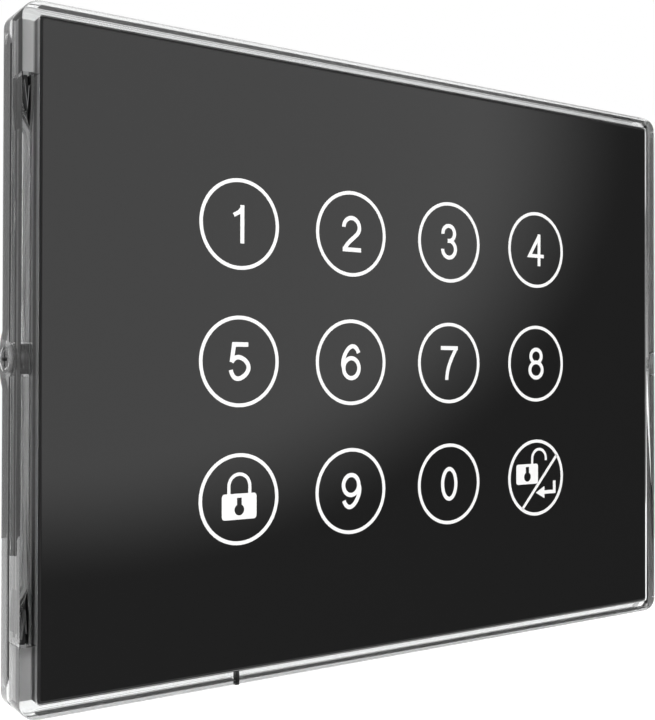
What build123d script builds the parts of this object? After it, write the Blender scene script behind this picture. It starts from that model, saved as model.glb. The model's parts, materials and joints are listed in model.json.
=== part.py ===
from build123d import *
import os

# Alarm keypad panel: a black glass touch front in a clear polycarbonate frame, on a wall
# plate that screws to a three-module flush box. The electronics hang in the box behind it.
#
# Millimetres. X runs right as the panel is read, Y runs into the wall, Z is up.
# The origin is the centre of the wall plane, where the wall plate meets the wall.

os.makedirs("parts", exist_ok=True)

# ---------------------------------------------------------------- driving dimensions
KEY_PITCH = 20.0
KEY_COLUMNS = 4
KEY_ROWS = 3
GRID_X = 0.4                   # the key grid sits this much right of the glass centre
GRID_Z = -0.1
GLASS_W = 119.2
GLASS_H = 89.8
GLASS_T = 3.0
GLASS_ROUND = 0.4              # round of the glass's front edge
FRAME_W = 2.1                  # width of the frame above and below the glass
FRAME_SIDE = 2.47              # its width beside the glass
FRAME_DEPTH = 4.2              # depth of the frame, front to back
CORNER_R = 2.6
PANEL_DEPTH = 7.4              # from the front of the glass to the wall
RIM_DEPTH = 2.6                # depth of the wall plate's rim
INK_T = 0.05
FIT = 0.3                      # gap kept between pieces that move apart

FRONT_Y = -PANEL_DEPTH
GLASS_BACK_Y = FRONT_Y + GLASS_T
FILM_T = 0.1
BOARD_T = 1.0
BOARD_FRONT_Y = GLASS_BACK_Y + 2 * FILM_T
BOARD_BACK_Y = BOARD_FRONT_Y + BOARD_T
TRAY_BACK_Y = -1.9             # back of the tray's flange
PLATE_T = 1.2

GLASS_X = GLASS_W / 2
GLASS_Z = GLASS_H / 2
OUT_X = GLASS_X + FRAME_SIDE
OUT_Z = GLASS_Z + FRAME_W

FRAME_IN = 0.1                 # inner edge of the frame, from the glass edge
BOND_IN = 0.02                 # the black bond between the glass edge and the frame
BOND_OUT = 0.08
WEB_OUT = 1.25                 # outer face of the web left by the side recesses
WEB_END = 0.95                 # the same at the ends, where the recess widens

RECESS_Z = 37.3                # half length of the recess in the left side of the frame
STRIP_Z = 33.2                 # half length of the side strip that lies in it
STRIP_IN = 1.35                # inner edge of the side strip, from the glass edge
TAPER = 3.6                    # length of the strip's pointed end

CUP_X = 36.5                   # half width of the housing in the wall box
CUP_Z = 27.0
CUP_WALL = 1.6
CUP_BACK_Y = 18.5
MAIN_FRONT_Y = 8.0             # front face of the main board
MAIN_BACK_Y = MAIN_FRONT_Y + 1.6

BOX_SCREW_X = 83.5 / 2         # fixing screws of a three-module wall box
LOCK_Y = -2.0                  # axis of the two lock screws
BOSS_R = 1.95
BOSS_OUT_X = OUT_X + 0.45
BOSS_IN_X = 58.9

TAMPER_X = 46.5
TAMPER_Z = -14.0

SIDES = (-1, 1)
CORNERS = [(sx, sz) for sx in SIDES for sz in SIDES]


def facing(y):
    """Plane at depth y, drawn as the panel is read; extruding goes to the front."""
    return Plane.XZ.offset(-y)


def facing_at(x, y, z):
    """The same, with its origin at one point."""
    return Plane(origin=(x, y, z), x_dir=(1, 0, 0), z_dir=(0, -1, 0))


def along_x(x, y, z, sign=1):
    """Plane across X at one point; extruding goes to sign * X."""
    return Plane(origin=(x, y, z), x_dir=(0, 1, 0), z_dir=(sign, 0, 0))


def finish(part, name):
    """Label one piece and write it."""
    part.label = name
    export_step(part, f"parts/{name}.step")


# ------------------------------------------------------------------------ the glass
with BuildPart() as front_glass:
    with BuildSketch(facing(GLASS_BACK_Y)):
        Rectangle(GLASS_W, GLASS_H)
    extrude(amount=GLASS_T)
    fillet(front_glass.edges().filter_by(Axis.Y), 0.6)
    fillet(front_glass.faces().sort_by(Axis.Y)[0].edges(), GLASS_ROUND)
finish(front_glass.part, "front_glass")

# ------------------------------------------------------- printing on the glass front
RING_OUT_R = KEY_PITCH / 3
RING_IN_R = RING_OUT_R - 0.55
KEY_X = [GRID_X + KEY_PITCH * (column - (KEY_COLUMNS - 1) / 2) for column in range(KEY_COLUMNS)]
KEY_Z = [GRID_Z + KEY_PITCH * ((KEY_ROWS - 1) / 2 - row) for row in range(KEY_ROWS)]
KEYS = [(x, z) for z in KEY_Z for x in KEY_X]
LOCK_KEY = KEYS[8]
ENTER_KEY = KEYS[11]
DIGIT_KEYS = dict(zip("12345678", KEYS[:8])) | {"9": KEYS[9], "0": KEYS[10]}

STROKE = 0.66
HALF_H = 2.8 - STROKE / 2      # to the middle of the stroke at a digit's top
HALF_W = 1.82 - STROKE / 2


def loop(x, y, half_w, half_h):
    """A closed oval stroke."""
    with Locations((x, y)):
        Ellipse(half_w + STROKE / 2, half_h + STROKE / 2)
        Ellipse(half_w - STROKE / 2, half_h - STROKE / 2, mode=Mode.SUBTRACT)


def draw_digit(digit):
    """One numeral about the sketch origin, in strokes of one width."""
    w, h = HALF_W, HALF_H
    if digit == "0":
        loop(0, 0, w - 0.05, h)
    if digit == "1":
        with BuildLine() as path:
            Line((0.38, -2.8), (0.38, 2.8))
        trace(path.line, line_width=STROKE)
        with BuildLine() as path:
            Polyline((0.38, 2.35), (-0.15, 1.75), (-1.05, 1.25))
        trace(path.line, line_width=STROKE * 0.9)
    if digit == "2":
        with BuildLine() as path:
            top = ThreePointArc((-w, 1.0), (-0.02, h), (w, 1.15))
            Spline(top @ 1, (0.45, -0.55), (-w + 0.1, -h), tangents=(top % 1, (-0.55, -1)))
        trace(path.line, line_width=STROKE)
        with BuildLine() as path:
            Line((-w - 0.2, -h), (w + STROKE / 2, -h))
        trace(path.line, line_width=STROKE)
    if digit == "3":
        with BuildLine() as path:
            ThreePointArc((-w + 0.1, 1.35), (0.9, 2.18), (-0.35, 0.25))
        trace(path.line, line_width=STROKE)
        with BuildLine() as path:
            ThreePointArc((-0.35, 0.25), (0.95, -2.05), (-w, -1.15))
        trace(path.line, line_width=STROKE)
    if digit == "4":
        with BuildLine() as path:
            Polyline((0.72, 2.5), (-w - 0.1, -1.05), (w + STROKE / 2 + 0.05, -1.05))
        trace(path.line, line_width=STROKE * 0.95)
        with BuildLine() as path:
            Line((0.72, -2.8), (0.72, 2.8))
        trace(path.line, line_width=STROKE)
    if digit == "5":
        with BuildLine() as path:
            Polyline((w - 0.05, h), (-0.95, h), (-1.35, -0.1))
        trace(path.line, line_width=STROKE)
        with BuildLine() as path:
            Spline((-1.35, -0.12), (0.05, 0.58), (w, -0.85), (0.0, -h), (-w, -1.25))
        trace(path.line, line_width=STROKE)
    if digit == "6":
        loop(0, -0.92, w - 0.03, h - 0.92)
        with BuildLine() as path:
            Spline((-w + 0.03, -0.85), (-1.15, 1.35), (0.12, h), (w - 0.1, 1.45))
        trace(path.line, line_width=STROKE)
    if digit == "7":
        with BuildLine() as path:
            Line((-w - STROKE / 2, h), (w + STROKE / 2, h))
        trace(path.line, line_width=STROKE)
        with BuildLine() as path:
            Spline((w - 0.05, h - 0.1), (0.05, -0.1), (-0.55, -2.8), tangents=((-0.6, -1), (0, -1)))
        trace(path.line, line_width=STROKE)
    if digit == "8":
        loop(0, 1.3, w - 0.22, h - 1.3)
        loop(0, -1.12, w, h - 1.12)
    if digit == "9":
        loop(0, 0.92, w - 0.03, h - 0.92)
        with BuildLine() as path:
            Spline((w - 0.03, 0.85), (1.15, -1.35), (-0.12, -h), (-w + 0.1, -1.45))
        trace(path.line, line_width=STROKE)


def draw_keyhole(x, y):
    """A keyhole cut out of a padlock's body."""
    with Locations((x, y - 0.55)):
        Circle(0.82, mode=Mode.SUBTRACT)
    with Locations((x, y + 0.45)):
        Rectangle(0.8, 1.5, mode=Mode.SUBTRACT)


with BuildPart() as legend_rings:
    with BuildSketch(facing(FRONT_Y)):
        with Locations(*KEYS):
            Circle(RING_OUT_R)
            Circle(RING_IN_R, mode=Mode.SUBTRACT)
    extrude(amount=INK_T)
finish(legend_rings.part, "legend_rings")

with BuildPart() as legend_digits:
    for digit, (key_x, key_z) in DIGIT_KEYS.items():
        with BuildSketch(facing_at(key_x, FRONT_Y, key_z)):
            draw_digit(digit)
    extrude(amount=INK_T)
finish(legend_digits.part, "legend_digits")

with BuildPart() as legend_lock:
    with BuildSketch(facing_at(LOCK_KEY[0], FRONT_Y, LOCK_KEY[1])):
        with Locations((0, -1.08)):
            RectangleRounded(5.8, 3.76, 0.5)
        draw_keyhole(0, -1.0)
        with BuildLine():
            left = Line((-1.75, 0.7), (-1.75, 1.9))
            bow = ThreePointArc(left @ 1, (0, 3.63), (1.75, 1.9))
            Line(bow @ 1, (1.75, 0.7))
        trace(line_width=0.5)
    extrude(amount=INK_T)
finish(legend_lock.part, "legend_lock")

with BuildPart() as legend_enter:
    with BuildSketch(facing_at(ENTER_KEY[0], FRONT_Y, ENTER_KEY[1])):
        with Locations((-2.15, 0.68)):
            RectangleRounded(5.2, 3.5, 0.45)
        draw_keyhole(-2.1, 0.75)
        with BuildLine():
            left = Line((-0.95, 2.35), (-0.95, 3.3))
            bow = ThreePointArc(left @ 1, (0.7, 4.95), (2.4, 3.3))
            Line(bow @ 1, (2.4, 2.95))
        trace(line_width=0.48)
        with BuildLine():
            Line((-3.25, -5.3), (5.05, 3.7))
        trace(line_width=0.5)
        with BuildLine():
            Polyline((0.6, -2.68), (4.5, -2.68), (4.5, -0.75))
        trace(line_width=0.62)
        with BuildLine():
            Polyline((-0.05, -2.68), (2.04, -1.62), (2.04, -3.74), close=True)
        make_face()
    extrude(amount=INK_T)
finish(legend_enter.part, "legend_enter")

# ------------------------------------------------------- layers behind the glass
with BuildPart() as mask_film:
    with BuildSketch(facing(GLASS_BACK_Y + FILM_T)):
        Rectangle(GLASS_W - 0.6, GLASS_H - 0.6)
        with Locations(*KEYS):
            Circle(RING_OUT_R - 1.2, mode=Mode.SUBTRACT)
    extrude(amount=FILM_T)
finish(mask_film.part, "mask_film")

TAPE_IN = 2.9
with BuildPart() as glass_tape:
    with BuildSketch(facing(BOARD_FRONT_Y)):
        Rectangle(GLASS_W - 0.8, GLASS_H - 0.8)
        Rectangle(GLASS_W - 2 * TAPE_IN, GLASS_H - 2 * TAPE_IN, mode=Mode.SUBTRACT)
    extrude(amount=FILM_T)
finish(glass_tape.part, "glass_tape")

BOARD_W = GLASS_W - 2 * TAPE_IN - 1.0
BOARD_H = GLASS_H - 2 * TAPE_IN - 1.0
with BuildPart() as touch_board:
    with BuildSketch(facing(BOARD_BACK_Y)):
        RectangleRounded(BOARD_W, BOARD_H, 1.5)
        with Locations(*KEYS):
            Circle(1.6, mode=Mode.SUBTRACT)
    extrude(amount=BOARD_T)
finish(touch_board.part, "touch_board")

with BuildPart() as touch_pads:
    with BuildSketch(facing(BOARD_FRONT_Y)):
        with Locations(*KEYS):
            Circle(5.6)
            Circle(2.0, mode=Mode.SUBTRACT)
    extrude(amount=FILM_T / 2)
finish(touch_pads.part, "touch_pads")

with BuildPart() as key_leds:
    with BuildSketch(facing(BOARD_BACK_Y + 0.7)):
        with Locations(*KEYS):
            Rectangle(1.6, 3.2)
    extrude(amount=0.7)
finish(key_leds.part, "key_leds")

# ---------------------------------------------------------------- the clear frame
def outline(margin, radius, mode=Mode.ADD):
    """Rounded outline that stands outside the glass edge by a margin."""
    RectangleRounded(GLASS_W + 2 * margin, GLASS_H + 2 * margin, radius, mode=mode)


with BuildPart() as edge_bond:
    with BuildSketch(facing(GLASS_BACK_Y)):
        outline(BOND_OUT, 0.68)
        outline(BOND_IN, 0.62, Mode.SUBTRACT)
    extrude(amount=GLASS_T - GLASS_ROUND)
finish(edge_bond.part, "edge_bond")

FRAME_BACK_Y = FRONT_Y + FRAME_DEPTH
BOSS_GAP_R = BOSS_R + 0.35
TAB_X = -GLASS_W / 4           # the release tab in the bottom edge
TAB_W = 0.6
TAB_DEEP = 1.2
INLAY_OUT = 1.45               # upper face of the inlays, from the glass edge
INLAY_T = 0.12
INLAY_DEEP = 2.2
SLOT_GAP = 0.02                # play round the inlays and the tab
with BuildPart() as outer_frame:
    with BuildSketch(facing(FRAME_BACK_Y)):
        RectangleRounded(2 * OUT_X, 2 * OUT_Z, CORNER_R)
    extrude(amount=FRAME_DEPTH)
    front_edges = outer_frame.faces().sort_by(Axis.Y)[0].outer_wire().edges()
    fillet(front_edges, 0.4)
    with BuildSketch(facing(FRAME_BACK_Y)):
        outline(FRAME_IN, 0.7)
    extrude(amount=FRAME_DEPTH, mode=Mode.SUBTRACT)
    # the long recess in the left side, wider at its ends
    with BuildSketch(facing(FRAME_BACK_Y)):
        with BuildLine():
            Polyline(
                (-OUT_X - 1, -RECESS_Z),
                (-GLASS_X - WEB_END, -RECESS_Z),
                (-GLASS_X - WEB_END, -STRIP_Z),
                (-GLASS_X - WEB_OUT, -STRIP_Z + TAPER),
                (-GLASS_X - WEB_OUT, STRIP_Z - TAPER),
                (-GLASS_X - WEB_END, STRIP_Z),
                (-GLASS_X - WEB_END, RECESS_Z),
                (-OUT_X - 1, RECESS_Z),
                close=True,
            )
        make_face()
    extrude(amount=FRAME_DEPTH, mode=Mode.SUBTRACT)
    # narrow slots for the inlays in the top and bottom
    with BuildSketch(facing(FRONT_Y + INLAY_DEEP + SLOT_GAP)):
        for side in SIDES:
            with Locations((0, side * (GLASS_Z + INLAY_OUT - INLAY_T / 2))):
                Rectangle(GLASS_W + 2 * SLOT_GAP, INLAY_T + 2 * SLOT_GAP)
    extrude(amount=INLAY_DEEP + SLOT_GAP, mode=Mode.SUBTRACT)
    # the notch of the release tab in the bottom edge
    with BuildSketch(facing(FRONT_Y + TAB_DEEP + SLOT_GAP)):
        with Locations((TAB_X, -GLASS_Z - FRAME_W / 2)):
            Rectangle(TAB_W + 2 * SLOT_GAP, FRAME_W + 1)
    extrude(amount=TAB_DEEP + SLOT_GAP, mode=Mode.SUBTRACT)
    # room for the lock screw bosses
    with BuildSketch(along_x(-OUT_X - 1, LOCK_Y, 0)):
        Circle(BOSS_GAP_R)
    extrude(amount=2 * OUT_X + 2, mode=Mode.SUBTRACT)
finish(outer_frame.part, "outer_frame")

with BuildPart() as frame_inlays:
    with BuildSketch(facing(FRONT_Y + INLAY_DEEP)):
        with Locations((0, GLASS_Z + INLAY_OUT - INLAY_T / 2)):
            Rectangle(GLASS_W, INLAY_T)
        for x_in, x_out in ((-GLASS_X, TAB_X - TAB_W / 2), (TAB_X + TAB_W / 2, GLASS_X)):
            with Locations(((x_in + x_out) / 2, -GLASS_Z - INLAY_OUT + INLAY_T / 2)):
                Rectangle(x_out - x_in - 2 * SLOT_GAP, INLAY_T)
    extrude(amount=INLAY_DEEP - SLOT_GAP)
finish(frame_inlays.part, "frame_inlays")

STRIP_END_Z = RECESS_Z - SLOT_GAP
STRIP_SKIN = 0.12              # thin outer wall of the strip past its pointed ends
STRIP_SET_BACK = 0.05          # the strip's face sits this much behind the frame's
STRIP_X = -GLASS_X - STRIP_IN
SKIN_X = -OUT_X + STRIP_SKIN
with BuildPart() as side_strip:
    with BuildSketch(facing(FRAME_BACK_Y)):
        with Locations(((STRIP_X - OUT_X) / 2, 0)):
            Rectangle(FRAME_SIDE - STRIP_IN, 2 * STRIP_END_Z)
    extrude(amount=FRAME_DEPTH - STRIP_SET_BACK)
    fillet(side_strip.faces().sort_by(Axis.Y)[0].edges().sort_by(Axis.X)[0], 0.18)
    # the strip comes to a point at each end, beside an open slot
    with BuildSketch(facing(FRAME_BACK_Y)):
        for end in SIDES:
            with BuildLine():
                Polyline(
                    (STRIP_X, end * (STRIP_Z - TAPER)),
                    (SKIN_X, end * STRIP_Z),
                    (SKIN_X, end * (RECESS_Z + 1)),
                    (STRIP_X, end * (RECESS_Z + 1)),
                    close=True,
                )
            make_face()
    extrude(amount=FRAME_DEPTH, mode=Mode.SUBTRACT)
    # foot that seats on the frame's web
    with BuildSketch(facing(FRAME_BACK_Y)):
        with Locations((-GLASS_X - (WEB_OUT + STRIP_IN) / 2, 0)):
            Rectangle(STRIP_IN - WEB_OUT, 2 * (STRIP_Z - TAPER))
    extrude(amount=FRAME_DEPTH - 1.6)
    # room for the lock screw boss
    with BuildSketch(along_x(-BOSS_IN_X, LOCK_Y, 0, -1)):
        Circle(BOSS_GAP_R)
    extrude(amount=OUT_X - BOSS_IN_X + 1, mode=Mode.SUBTRACT)
finish(side_strip.part, "side_strip")

# the tab that is pressed to release the front, let into the bottom edge
with BuildPart() as release_tab:
    with BuildSketch(facing(FRONT_Y + TAB_DEEP)):
        with Locations((TAB_X, -GLASS_Z - (BOND_OUT + FRAME_W + SLOT_GAP) / 2)):
            Rectangle(TAB_W, FRAME_W - BOND_OUT - SLOT_GAP)
    extrude(amount=TAB_DEEP - SLOT_GAP)
finish(release_tab.part, "release_tab")

# ------------------------------------------------------- tray that carries the front
RIM_IN = 2.5                   # width of the wall plate's rim
PLATE_X = OUT_X - RIM_IN
PLATE_Z = OUT_Z - RIM_IN
TRAY_IN_X = PLATE_X - 0.4
TRAY_IN_Z = PLATE_Z - 0.4
POST_X = 53.5
POST_Z = 37.5
POST_R = 1.7
OPEN_X = CUP_X - 3.0           # opening of the tray into the cup
OPEN_Z = CUP_Z - 3.0
PAD_X = 2.2                    # corner pads that the cup's screws enter
PAD_Z = 3.7
BOSS_C_X = CUP_X - 3.6
BOSS_C_Z = CUP_Z - 3.6
CUP_SCREW_R = 1.2
LOCK_POCKET_R = 1.4
with BuildPart() as front_tray:
    # floor that drops inside the wall plate's rim, open to the cup behind it
    with BuildSketch(facing(TRAY_BACK_Y)):
        Rectangle(2 * TRAY_IN_X, 2 * TRAY_IN_Z)
        Rectangle(2 * OPEN_X, 2 * (OPEN_Z - PAD_Z), mode=Mode.SUBTRACT)
        Rectangle(2 * (OPEN_X - PAD_X), 2 * OPEN_Z, mode=Mode.SUBTRACT)
    extrude(amount=TRAY_BACK_Y - BOARD_BACK_Y)
    # wall round the touch board, that carries the glass and the frame
    with BuildSketch(facing(BOARD_BACK_Y)):
        outline(BOND_OUT, 0.68)
        Rectangle(GLASS_W - 2 * TAPE_IN, GLASS_H - 2 * TAPE_IN, mode=Mode.SUBTRACT)
    extrude(amount=BOARD_T)
    # posts that guide the front on the wall plate
    with BuildSketch(facing(-0.2)):
        with Locations(*[(sx * POST_X, sz * POST_Z) for sx, sz in CORNERS]):
            Circle(POST_R)
    extrude(amount=-0.2 - TRAY_BACK_Y)
    for side in SIDES:
        # room for the boss, then the pocket that the screw's tip enters
        with BuildSketch(along_x(side * (BOSS_IN_X - FIT), LOCK_Y, 0, side)):
            Circle(BOSS_GAP_R)
        extrude(amount=4, mode=Mode.SUBTRACT)
        with BuildSketch(along_x(side * (BOSS_IN_X - 2.0), LOCK_Y, 0, side)):
            Circle(LOCK_POCKET_R)
        extrude(amount=3, mode=Mode.SUBTRACT)
    # room for the tamper switch, and the holes of the cup's screws
    with BuildSketch(facing(TRAY_BACK_Y)):
        with Locations((TAMPER_X, TAMPER_Z)):
            Rectangle(6.2, 6.2)
        with Locations(*[(sx * BOSS_C_X, sz * BOSS_C_Z) for sx, sz in CORNERS]):
            Circle(CUP_SCREW_R)
    extrude(amount=TRAY_BACK_Y - BOARD_BACK_Y, mode=Mode.SUBTRACT)
finish(front_tray.part, "front_tray")

CAP_T = 0.6
CAP_DEEP = 1.4                 # depth of the caps' walls below the front
CAP_WALL = 0.5
CAP_X = -GLASS_X - WEB_OUT
CAP_END_Z = RECESS_Z - 0.1
CAP_NARROW_Z = STRIP_Z - TAPER + 0.6
with BuildPart() as end_caps:
    for end in SIDES:
        # a floor across the end of the side recess, and a wall along the frame's web
        with BuildSketch(facing(FRAME_BACK_Y)):
            with BuildLine():
                Polyline(
                    (CAP_X, end * CAP_NARROW_Z),
                    (CAP_X, end * CAP_END_Z),
                    (-OUT_X + 0.3, end * CAP_END_Z),
                    (-OUT_X + 0.3, end * (STRIP_Z + 0.2)),
                    close=True,
                )
            make_face()
        extrude(amount=CAP_T)
        with BuildSketch(facing(FRAME_BACK_Y)):
            with BuildLine():
                Polyline(
                    (CAP_X, end * CAP_NARROW_Z),
                    (CAP_X, end * CAP_END_Z),
                    (CAP_X - CAP_WALL, end * CAP_END_Z),
                    (CAP_X - CAP_WALL, end * (STRIP_Z - 0.8)),
                    close=True,
                )
            make_face()
        extrude(amount=FRAME_DEPTH - CAP_DEEP)
finish(end_caps.part, "end_caps")

RAIL_T = 0.3
RAIL_X = GLASS_X + 2.3
GROOVE_X = GLASS_X + 1.6       # a dark groove along each rail
GROOVE_W = 0.4
with BuildPart() as side_rails:
    with BuildSketch(facing(FRAME_BACK_Y + RAIL_T)):
        for side in SIDES:
            with Locations((side * (TRAY_IN_X + RAIL_X) / 2, 0)):
                Rectangle(RAIL_X - TRAY_IN_X, GLASS_H)
        Rectangle(2 * OUT_X, 2 * BOSS_GAP_R, mode=Mode.SUBTRACT)
    extrude(amount=RAIL_T)
    with BuildSketch(facing(FRAME_BACK_Y + RAIL_T / 2)):
        for side in SIDES:
            with Locations((side * GROOVE_X, 0)):
                Rectangle(GROOVE_W, GLASS_H)
    extrude(amount=RAIL_T / 2, mode=Mode.SUBTRACT)
finish(side_rails.part, "side_rails")

CLIP_T = 0.09
with BuildPart() as snap_springs:
    for end in SIDES:
        with BuildSketch(facing(FRONT_Y + CAP_DEEP)):
            with BuildLine():
                Polyline(
                    (-GLASS_X - 2.05, end * 36.3),
                    (-GLASS_X - 1.62, end * 32.9),
                    (-GLASS_X - 1.42, end * 35.6),
                )
            trace(line_width=CLIP_T)
        extrude(amount=CAP_DEEP - 0.35)
finish(snap_springs.part, "snap_springs")

# --------------------------------------------------------- housing in the wall box
STAND_X = 27.0
STAND_Z = 19.0
TERMINAL_X = 8.0
TERMINAL_W = 24.0
TERMINAL_H = 11.0
TERMINAL_Z = -14.0
SELECTOR = (-17.0, -12.0)
PROGRAM = (-20.0, 6.0)
with BuildPart() as rear_cup:
    with BuildSketch(facing(CUP_BACK_Y)):
        RectangleRounded(2 * CUP_X, 2 * CUP_Z, 2.5)
    extrude(amount=CUP_BACK_Y - TRAY_BACK_Y)
    with BuildSketch(facing(CUP_BACK_Y - CUP_WALL)):
        RectangleRounded(2 * (CUP_X - CUP_WALL), 2 * (CUP_Z - CUP_WALL), 1.0)
    extrude(amount=CUP_BACK_Y - CUP_WALL - TRAY_BACK_Y, mode=Mode.SUBTRACT)
    with BuildSketch(facing(CUP_BACK_Y - CUP_WALL)):
        with Locations(*[(sx * BOSS_C_X, sz * BOSS_C_Z) for sx, sz in CORNERS]):
            Circle(2.9)
    extrude(amount=CUP_BACK_Y - CUP_WALL - TRAY_BACK_Y)
    with BuildSketch(facing(CUP_BACK_Y - CUP_WALL)):
        with Locations(*[(sx * STAND_X, sz * STAND_Z) for sx, sz in CORNERS]):
            Circle(2.6)
    extrude(amount=CUP_BACK_Y - CUP_WALL - MAIN_BACK_Y)
    # windows for the terminal block, the address selector and the program button
    with BuildSketch(facing(CUP_BACK_Y)):
        with Locations((TERMINAL_X, TERMINAL_Z)):
            Rectangle(TERMINAL_W + 0.8, TERMINAL_H + 0.8)
        with Locations(SELECTOR):
            Circle(4.2)
        with Locations(PROGRAM):
            Circle(2.6)
        with GridLocations(3.0, 4.0, 9, 3):
            with Locations((6.0, 14.0)):
                SlotOverall(2.8, 1.0, rotation=90)
    extrude(amount=CUP_WALL, mode=Mode.SUBTRACT)
    # screw holes: from the back into the tray, and into the standoffs
    with BuildSketch(facing(CUP_BACK_Y)):
        with Locations(*[(sx * BOSS_C_X, sz * BOSS_C_Z) for sx, sz in CORNERS]):
            Circle(1.25)
    extrude(amount=CUP_BACK_Y - TRAY_BACK_Y, mode=Mode.SUBTRACT)
    with BuildSketch(facing(CUP_BACK_Y)):
        with Locations(*[(sx * BOSS_C_X, sz * BOSS_C_Z) for sx, sz in CORNERS]):
            Circle(2.3)
    extrude(amount=1.9, mode=Mode.SUBTRACT)
    with BuildSketch(facing(CUP_BACK_Y - CUP_WALL)):
        with Locations(*[(sx * STAND_X, sz * STAND_Z) for sx, sz in CORNERS]):
            Circle(1.0)
    extrude(amount=CUP_BACK_Y - CUP_WALL - MAIN_BACK_Y, mode=Mode.SUBTRACT)
finish(rear_cup.part, "rear_cup")


def cross_recess(size):
    """Cross-head drive cut, drawn on the screw head."""
    Rectangle(size, size * 0.22)
    Rectangle(size * 0.22, size)


with BuildPart() as cup_screws:
    for side_x, side_z in CORNERS:
        head_y = CUP_BACK_Y - 0.1
        with BuildSketch(facing_at(side_x * BOSS_C_X, head_y, side_z * BOSS_C_Z)):
            Circle(2.1)
        extrude(amount=1.8)
        with BuildSketch(facing_at(side_x * BOSS_C_X, head_y - 1.8, side_z * BOSS_C_Z)):
            Circle(CUP_SCREW_R)
        extrude(amount=head_y - 1.8 - TRAY_BACK_Y + 1.0)
        with BuildSketch(facing_at(side_x * BOSS_C_X, head_y, side_z * BOSS_C_Z)):
            cross_recess(2.4)
        extrude(amount=0.8, mode=Mode.SUBTRACT)
finish(cup_screws.part, "cup_screws")

# ------------------------------------------------------------------ main electronics
with BuildPart() as main_board:
    with BuildSketch(facing(MAIN_BACK_Y)):
        RectangleRounded(2 * (CUP_X - CUP_WALL - 0.6), 2 * (CUP_Z - CUP_WALL - 0.6), 1.0)
        with Locations(*[(sx * BOSS_C_X, sz * BOSS_C_Z) for sx, sz in CORNERS]):
            Rectangle(7.4, 7.4, mode=Mode.SUBTRACT)
        with Locations(*[(sx * STAND_X, sz * STAND_Z) for sx, sz in CORNERS]):
            Circle(1.1, mode=Mode.SUBTRACT)
    extrude(amount=MAIN_BACK_Y - MAIN_FRONT_Y)
finish(main_board.part, "main_board")

with BuildPart() as board_screws:
    for side_x, side_z in CORNERS:
        with BuildSketch(facing_at(side_x * STAND_X, MAIN_FRONT_Y, side_z * STAND_Z)):
            Circle(1.9)
        extrude(amount=1.4)
        with BuildSketch(facing_at(side_x * STAND_X, MAIN_FRONT_Y - 1.4, side_z * STAND_Z)):
            cross_recess(2.2)
        extrude(amount=-0.7, mode=Mode.SUBTRACT)
        with BuildSketch(facing_at(side_x * STAND_X, MAIN_FRONT_Y + 6.0, side_z * STAND_Z)):
            Circle(0.98)
        extrude(amount=6.0)
finish(board_screws.part, "board_screws")

with BuildPart() as microcontroller:
    with BuildSketch(facing_at(4, MAIN_FRONT_Y, 6)):
        Rectangle(10, 10)
    extrude(amount=1.2)
    chamfer(microcontroller.faces().sort_by(Axis.Y)[0].edges(), 0.2)
    with BuildSketch(facing_at(4, MAIN_FRONT_Y, 6)):
        with GridLocations(0.8, 11.0, 11, 2):
            Rectangle(0.35, 1.4)
        with GridLocations(11.0, 0.8, 2, 11):
            Rectangle(1.4, 0.35)
    extrude(amount=0.25)
finish(microcontroller.part, "microcontroller")

with BuildPart() as touch_chip:
    with BuildSketch(facing_at(0, BOARD_BACK_Y + 0.9, 10)):
        Rectangle(6, 6)
    extrude(amount=0.9)
finish(touch_chip.part, "touch_chip")

with BuildPart() as capacitors:
    with BuildSketch(facing(MAIN_FRONT_Y)):
        with Locations((-14, -4), (-5, -14)):
            Circle(3.15)
    extrude(amount=7.2)
    fillet(capacitors.faces().sort_by(Axis.Y).group_by(Axis.Y)[0].edges(), 0.5)
finish(capacitors.part, "capacitors")

with BuildPart() as buzzer:
    with BuildSketch(facing_at(18, MAIN_FRONT_Y, -4)):
        Circle(6.5)
    extrude(amount=5.0)
    with BuildSketch(facing_at(18, MAIN_FRONT_Y - 5.0, -4)):
        Circle(1.2)
    extrude(amount=-2.0, mode=Mode.SUBTRACT)
finish(buzzer.part, "buzzer")

HEADER_Z = 16.0
with BuildPart() as header_socket:
    with BuildSketch(facing_at(0, MAIN_FRONT_Y, HEADER_Z)):
        Rectangle(21.0, 5.0)
        with GridLocations(2.54, 2.54, 8, 1):
            Rectangle(1.0, 1.0, mode=Mode.SUBTRACT)
    extrude(amount=8.0)
finish(header_socket.part, "header_socket")

with BuildPart() as header_pins:
    with BuildSketch(facing_at(0, -0.2, HEADER_Z)):
        Rectangle(21.0, 2.4)
    extrude(amount=-0.2 - BOARD_BACK_Y)
    with BuildSketch(facing_at(0, 5.5, HEADER_Z)):
        with GridLocations(2.54, 2.54, 8, 1):
            Rectangle(0.64, 0.64)
    extrude(amount=5.5 + 0.2)
finish(header_pins.part, "header_pins")

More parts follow.
